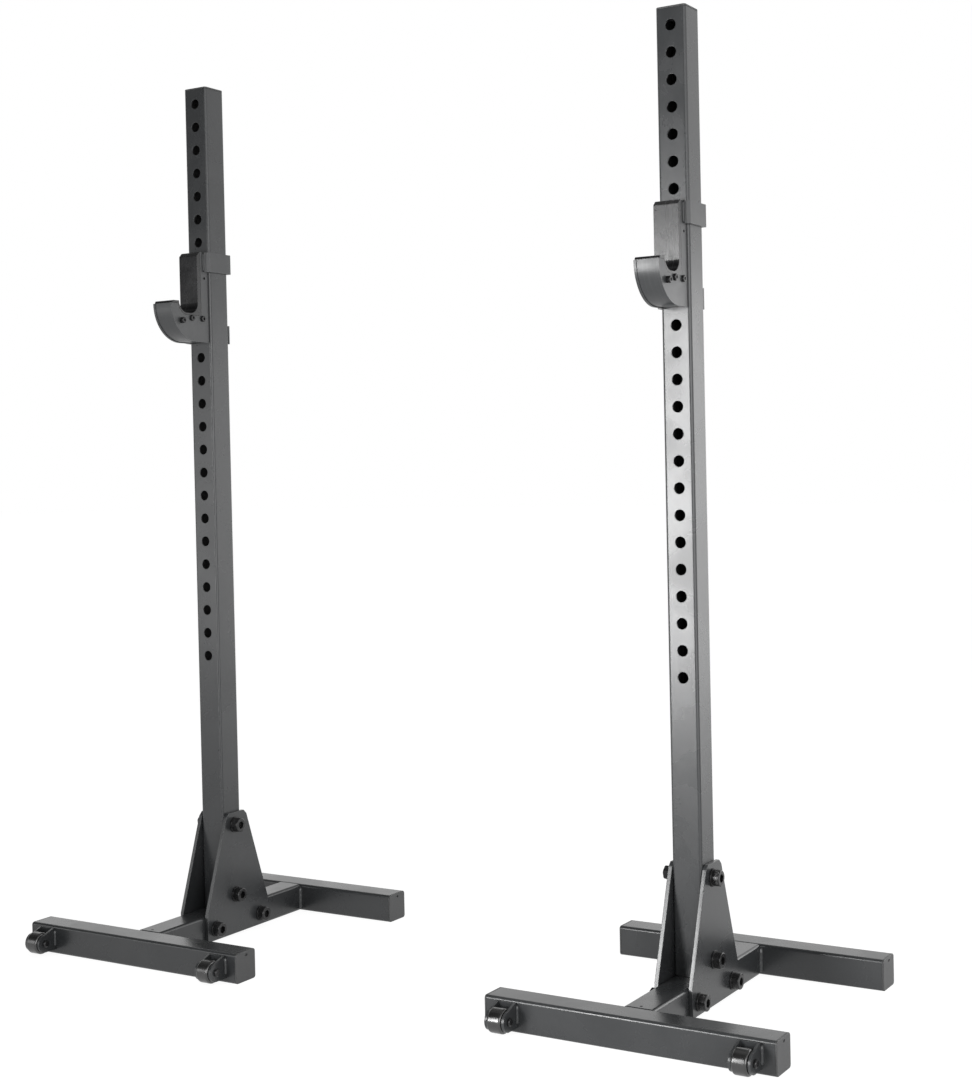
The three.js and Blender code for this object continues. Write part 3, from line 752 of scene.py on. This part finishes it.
def buildRoller():
    half = roller["length"] / 2
    bpy.ops.mesh.primitive_cylinder_add(vertices=64, radius=roller["width"] / 2,
                                        depth=roller["length"])
    piece = startPiece("rollerMaster")
    pickEdges(piece, lambda middle, along: abs(middle.z) > 0.9 * half and acrossZ(along))
    bpy.ops.mesh.bevel(offset=roller["round"], segments=6, affect="EDGES")
    pickFaces(piece, lambda middle, normal: abs(normal.z) > 0.999)      # not the round's rings
    bpy.ops.mesh.inset(thickness=roller["rim"])
    bpy.ops.mesh.inset(thickness=roller["rimSlope"], depth=-roller["dish"])
    dishRadius = roller["width"] / 2 - roller["round"] - roller["rim"] - roller["rimSlope"]
    bpy.ops.mesh.inset(thickness=dishRadius - roller["hub"] / 2)
    bpy.ops.mesh.inset(thickness=roller["hubSlope"], depth=roller["dish"])
    bpy.ops.mesh.inset(thickness=roller["hub"] / 2 - roller["hubSlope"] - roller["bore"] / 2)
    bpy.ops.mesh.bridge_edge_loops()
    objectMode()
    roundEdges(piece, roller["edge"], limit=35)
    smooth(piece, angle=40)
    return piece


# A rod with a domed head at one end and a riveted tail at the other
def buildAxle(reach):
    head = buildHead("axleMaster", axle["head"], axle["headHeight"], reach, axle["dome"],
                     sides=40, steps=6)
    tail = buildHead("tail", axle["tail"], axle["tailHeight"], reach, axle["tailRound"],
                     sides=32, steps=4)
    tail.data.transform(Matrix.Rotation(math.pi, 4, "X"))
    bpy.ops.mesh.primitive_cylinder_add(vertices=24, radius=axle["rod"] / 2, depth=2 * reach)
    rod = startPiece("rod")
    joinPieces(head, tail, rod)
    roundEdges(head, axle["edge"], limit=35)
    smooth(head, angle=40)
    return head


rollerMaster = buildRoller()
low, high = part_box("left_roller_axle_left")
axleReach = (high.x - low.x - axle["headHeight"] - axle["tailHeight"]) / 2
axleMaster = buildAxle(axleReach)
for side in sides:
    for hand in ("left", "right"):
        low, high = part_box(f"{side}_roller_{hand}")
        spot = (low + high) / 2
        body = f"{side}_stand_{hand}_roller"
        piece = placeCopy(rollerMaster, f"{side}_wheel_{hand}", rightTurn, spot)
        dress(piece, rollerPlastic, "roller_plastic", body, f"{side}_roller_{hand}")
        piece = placeCopy(axleMaster, f"{side}_axle_{hand}", rightTurn, spot)
        dress(piece, blackSteel, "black_steel", "frame", f"{side}_roller_axle_{hand}")
for master in (rollerMaster, axleMaster):
    bpy.data.objects.remove(master)
print("rollers fitted")


# Pitch and roughness are shares of the width, swell and taper of a ring's radius
bead = {"pitchShare": 0.45, "swell": 1.28, "taper": 0.55, "roughShare": 0.045}


# A bead runs from one point to another, as a row of overlapping drops
def buildBead(name, start, end, width, body, material, slotName, seed):
    start, end = Vector(start), Vector(end)
    length = (end - start).length
    rings = max(4, 2 * int(length / (bead["pitchShare"] * width) / 2))
    bpy.ops.mesh.primitive_cylinder_add(vertices=12, radius=width / 2, depth=length)
    piece = startPiece(name)
    pickEdges(piece, lambda middle, along: alongZ(along))
    bpy.ops.mesh.subdivide(number_cuts=rings)
    step = length / (rings + 1)

    def isSwollen(middle, along):      # every other ring
        place = (middle.z + length / 2) / step
        return acrossZ(along) and abs(place - round(place)) < 0.01 and round(place) % 2 == 1

    def isEnd(middle, along):
        return acrossZ(along) and abs(middle.z) > 0.49 * length

    for wanted, share in ((isSwollen, bead["swell"]), (isEnd, bead["taper"])):
        pickEdges(piece, wanted)
        bpy.ops.transform.resize(value=(share, share, 1), center_override=(0, 0, 0))
    bpy.ops.mesh.select_all(action="SELECT")
    bpy.ops.transform.vertex_random(offset=bead["roughShare"] * width, seed=seed)
    objectMode()
    turn = (end - start).to_track_quat("Z", "Y")
    piece.data.transform(Matrix.Translation((start + end) / 2) @ turn.to_matrix().to_4x4())
    rounder = piece.modifiers.new("soft", "SUBSURF")
    rounder.levels = rounder.render_levels = 1
    only(piece)
    bpy.ops.object.modifier_apply(modifier=rounder.name)
    bpy.ops.object.shade_smooth()
    dress(piece, material, slotName, body)


# Where the centre tube meets the front and rear ones: off its corners, from low to high
tubeBead = {"width": 12 * mm, "off": 0.6 * mm, "low": 5 * mm, "high": 56 * mm}
# Where the roller brackets meet the front tube: how far off their corners and their ends
rollerBead = {"width": 8 * mm, "aside": 0.8 * mm, "ahead": 0.9 * mm, "fromLow": 8 * mm,
              "fromHigh": 3 * mm}
# Where the straps meet the hook's side plates: from the upright's middle and the bracket's ends
strapBead = {"width": 4.5 * mm, "aside": 25.4 * mm, "ahead": 45.6 * mm, "fromEnd": 2 * mm,
             "upperReach": 40 * mm, "lowerReach": 37.5 * mm}
seed = 1
for side in sides:
    centreLow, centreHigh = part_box(f"{side}_base_centre_tube")
    for end, y, inward in (("front", centreLow.y, 1), ("rear", centreHigh.y, -1)):
        for hand, x, outward in (("left", centreLow.x, -1), ("right", centreHigh.x, 1)):
            spot = (x + outward * tubeBead["off"], y + inward * tubeBead["off"])
            buildBead(f"{side}_{end}_{hand}_bead", (*spot, tubeBead["low"]),
                      (*spot, tubeBead["high"]), tubeBead["width"],
                      "frame", framePaint, "frame_paint", seed)
            seed += 1
    for hand in ("left", "right"):
        low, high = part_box(f"{side}_roller_bracket_{hand}")
        for edge, x, way in (("inner", low.x, -1), ("outer", high.x, 1)):
            spot = (x + way * rollerBead["aside"], high.y - rollerBead["ahead"])
            buildBead(f"{side}_roller_{hand}_{edge}_bead", (*spot, low.z + rollerBead["fromLow"]),
                      (*spot, high.z - rollerBead["fromHigh"]), rollerBead["width"],
                      "frame", framePaint, "frame_paint", seed)
            seed += 1
    uprightLow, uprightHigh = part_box(f"{side}_upright")
    middle = (uprightLow + uprightHigh) / 2
    hookLow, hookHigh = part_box(f"{side}_hook_bracket")
    lowerEnd, upperEnd = hookLow.z + strapBead["fromEnd"], hookHigh.z - strapBead["fromEnd"]
    for strap, way, bottom, top in (
            ("upper", 1, hookHigh.z - strapBead["upperReach"], upperEnd),
            ("lower", -1, lowerEnd, hookLow.z + strapBead["lowerReach"])):
        spot = (middle.x + way * strapBead["aside"], middle.y - strapBead["ahead"])
        buildBead(f"{side}_{strap}_strap_bead", (*spot, bottom), (*spot, top), strapBead["width"],
                  f"{side}_hook", hookPaint, "hook_paint", seed)
        seed += 1
print("weld beads laid")


# The floor is white to the camera and in reflections, and keeps the shadow
paper = {"size": 80, "white": (0.8, 0.8, 0.8, 1), "rough": 0.9, "faint": (0.25, 0.25, 0.25, 1),
         "glow": 0.93, "mirroredGlow": 0.8}
bpy.ops.mesh.primitive_plane_add(size=paper["size"])
floor = startPiece("floor")
floorMaterial, tree, shader = newMaterial("floor_paper")
shader.inputs["Base Color"].default_value = paper["white"]
shader.inputs["Roughness"].default_value = paper["rough"]
both = addNode(tree, "ShaderNodeAddShader")
seen = addNode(tree, "ShaderNodeLightPath").outputs
glow = addNode(tree, "ShaderNodeEmission")
strength = mapRange(tree, seen["Is Glossy Ray"], 0.0, 1.0,
                    outLow=paper["glow"], outHigh=paper["mirroredGlow"])
tree.links.new(strength, glow.inputs["Strength"])
choose = addNode(tree, "ShaderNodeMixShader")
output = tree.nodes["Material Output"]
faint = addNode(tree, "ShaderNodeBsdfDiffuse", values={"Color": paper["faint"]})
tree.links.new(faint.outputs[0], both.inputs[0])
tree.links.new(glow.outputs[0], both.inputs[1])
watched = sumOf(tree, "MAXIMUM", seen["Is Camera Ray"], seen["Is Glossy Ray"])
tree.links.new(watched, choose.inputs[0])
tree.links.new(shader.outputs[0], choose.inputs[1])
tree.links.new(both.outputs[0], choose.inputs[2])
tree.links.new(choose.outputs[0], output.inputs["Surface"])
floor.data.materials.append(floorMaterial)

# Polished surfaces mirror a white backdrop in a dark room that is brighter to the right; each
# range says between which directions one part passes into the next
room = {"behind": 1.2, "front": 0.22, "right": 1.8, "ceiling": 0.15, "fill": 0.3,
        "toBehind": (-0.35, 0.45), "toRight": (0.0, 0.4), "toCeiling": (0.35, 0.7)}
world = bpy.data.worlds.new("studio")
bpy.context.scene.world = world
world.use_nodes = True
tree = world.node_tree
backdrop = tree.nodes["Background"]
backdrop.inputs["Color"].default_value = (1, 1, 1, 1)
direction = addNode(tree, "ShaderNodeTexCoord").outputs["Generated"]
split = addNode(tree, "ShaderNodeSeparateXYZ")
tree.links.new(direction, split.inputs[0])
around = addNode(tree, "ShaderNodeMix", {"data_type": "FLOAT"}, {"B": room["behind"]})
backward = mapRange(tree, split.outputs["Y"], *room["toBehind"])
sideward = mapRange(tree, split.outputs["X"], *room["toRight"],
                    outLow=room["front"], outHigh=room["right"])
upward = mapRange(tree, split.outputs["Z"], *room["toCeiling"], outLow=1.0, outHigh=room["ceiling"])
tree.links.new(backward, around.inputs["Factor"])
tree.links.new(sideward, around.inputs["A"])
mirrored = sumOf(tree, "MULTIPLY", around.outputs["Result"], upward)
rays = addNode(tree, "ShaderNodeLightPath").outputs
lit = addNode(tree, "ShaderNodeMix", {"data_type": "FLOAT"}, {"A": room["fill"]})
tree.links.new(rays["Is Glossy Ray"], lit.inputs["Factor"])
tree.links.new(mirrored, lit.inputs["B"])
shown = sumOf(tree, "MAXIMUM", lit.outputs["Result"], rays["Is Camera Ray"])
tree.links.new(shown, backdrop.inputs["Strength"])

# A narrow beam keeps the front panel off the left stand's side
lamps = {
    "front_panel": {"at": (-0.9, -3.05, 0.985), "aim": (1.9, 0.0, 1.005),
                    "size": (0.75, 1.63), "power": 28.4, "beam": 90},
    "top_panel": {"at": (0.3, 0.6, 4.2), "aim": (0.0, 0.0, 0.0),
                  "size": (4.0, 4.0), "power": 8, "beam": 180},
    "right_panel": {"at": (1.9, 1.7, 0.75), "aim": (0.6, 0.0, 0.6),
                    "size": (0.9, 1.7), "power": 9.5, "beam": 180},
    "left_panel": {"at": (-3.1, -3.0, 0.9), "aim": (-0.6, 0.0, 0.9),
                   "size": (1.2, 1.4), "power": 12, "beam": 180},
    "side_panel": {"at": (2.9, -2.1, 1.0), "aim": (0.0, 0.0, 1.0),
                   "size": (2.4, 2.0), "power": 44, "beam": 180},
    "back_panel": {"at": (1.6, 4.2, 0.9), "aim": (0.3, 0.0, 0.7),
                   "size": (2.6, 1.8), "power": 18, "beam": 180},
}
for name, lamp in lamps.items():
    light = bpy.data.lights.new(name, "AREA")
    light.shape = "RECTANGLE"
    light.size, light.size_y = lamp["size"]
    light.energy = lamp["power"]
    light.spread = math.radians(lamp["beam"])
    holder = bpy.data.objects.new(name, light)
    holder.visible_camera = False
    holder.location = lamp["at"]
    aim = Vector(lamp["aim"]) - Vector(lamp["at"])
    holder.rotation_euler = aim.to_track_quat("-Z", "Y").to_euler()
    bpy.context.scene.collection.objects.link(holder)

view = {"at": (1.9422, -2.9439, 1.0009), "turn": (88.980, 1.240, 31.504), "lens": 58.2155,
        "sensor": 36, "shift": (0.00456, -0.03448), "clip": (0.05, 200)}
camera = bpy.data.cameras.new("camera")
camera.lens = view["lens"]
camera.sensor_width = view["sensor"]
camera.sensor_fit = "AUTO"
camera.shift_x, camera.shift_y = view["shift"]
camera.clip_start, camera.clip_end = view["clip"]
cameraHolder = bpy.data.objects.new("camera", camera)
cameraHolder.location = view["at"]
cameraHolder.rotation_euler = [math.radians(angle) for angle in view["turn"]]
bpy.context.scene.collection.objects.link(cameraHolder)
bpy.context.scene.camera = cameraHolder
bpy.context.scene.view_settings.view_transform = "Standard"
print("floor, light and camera set")
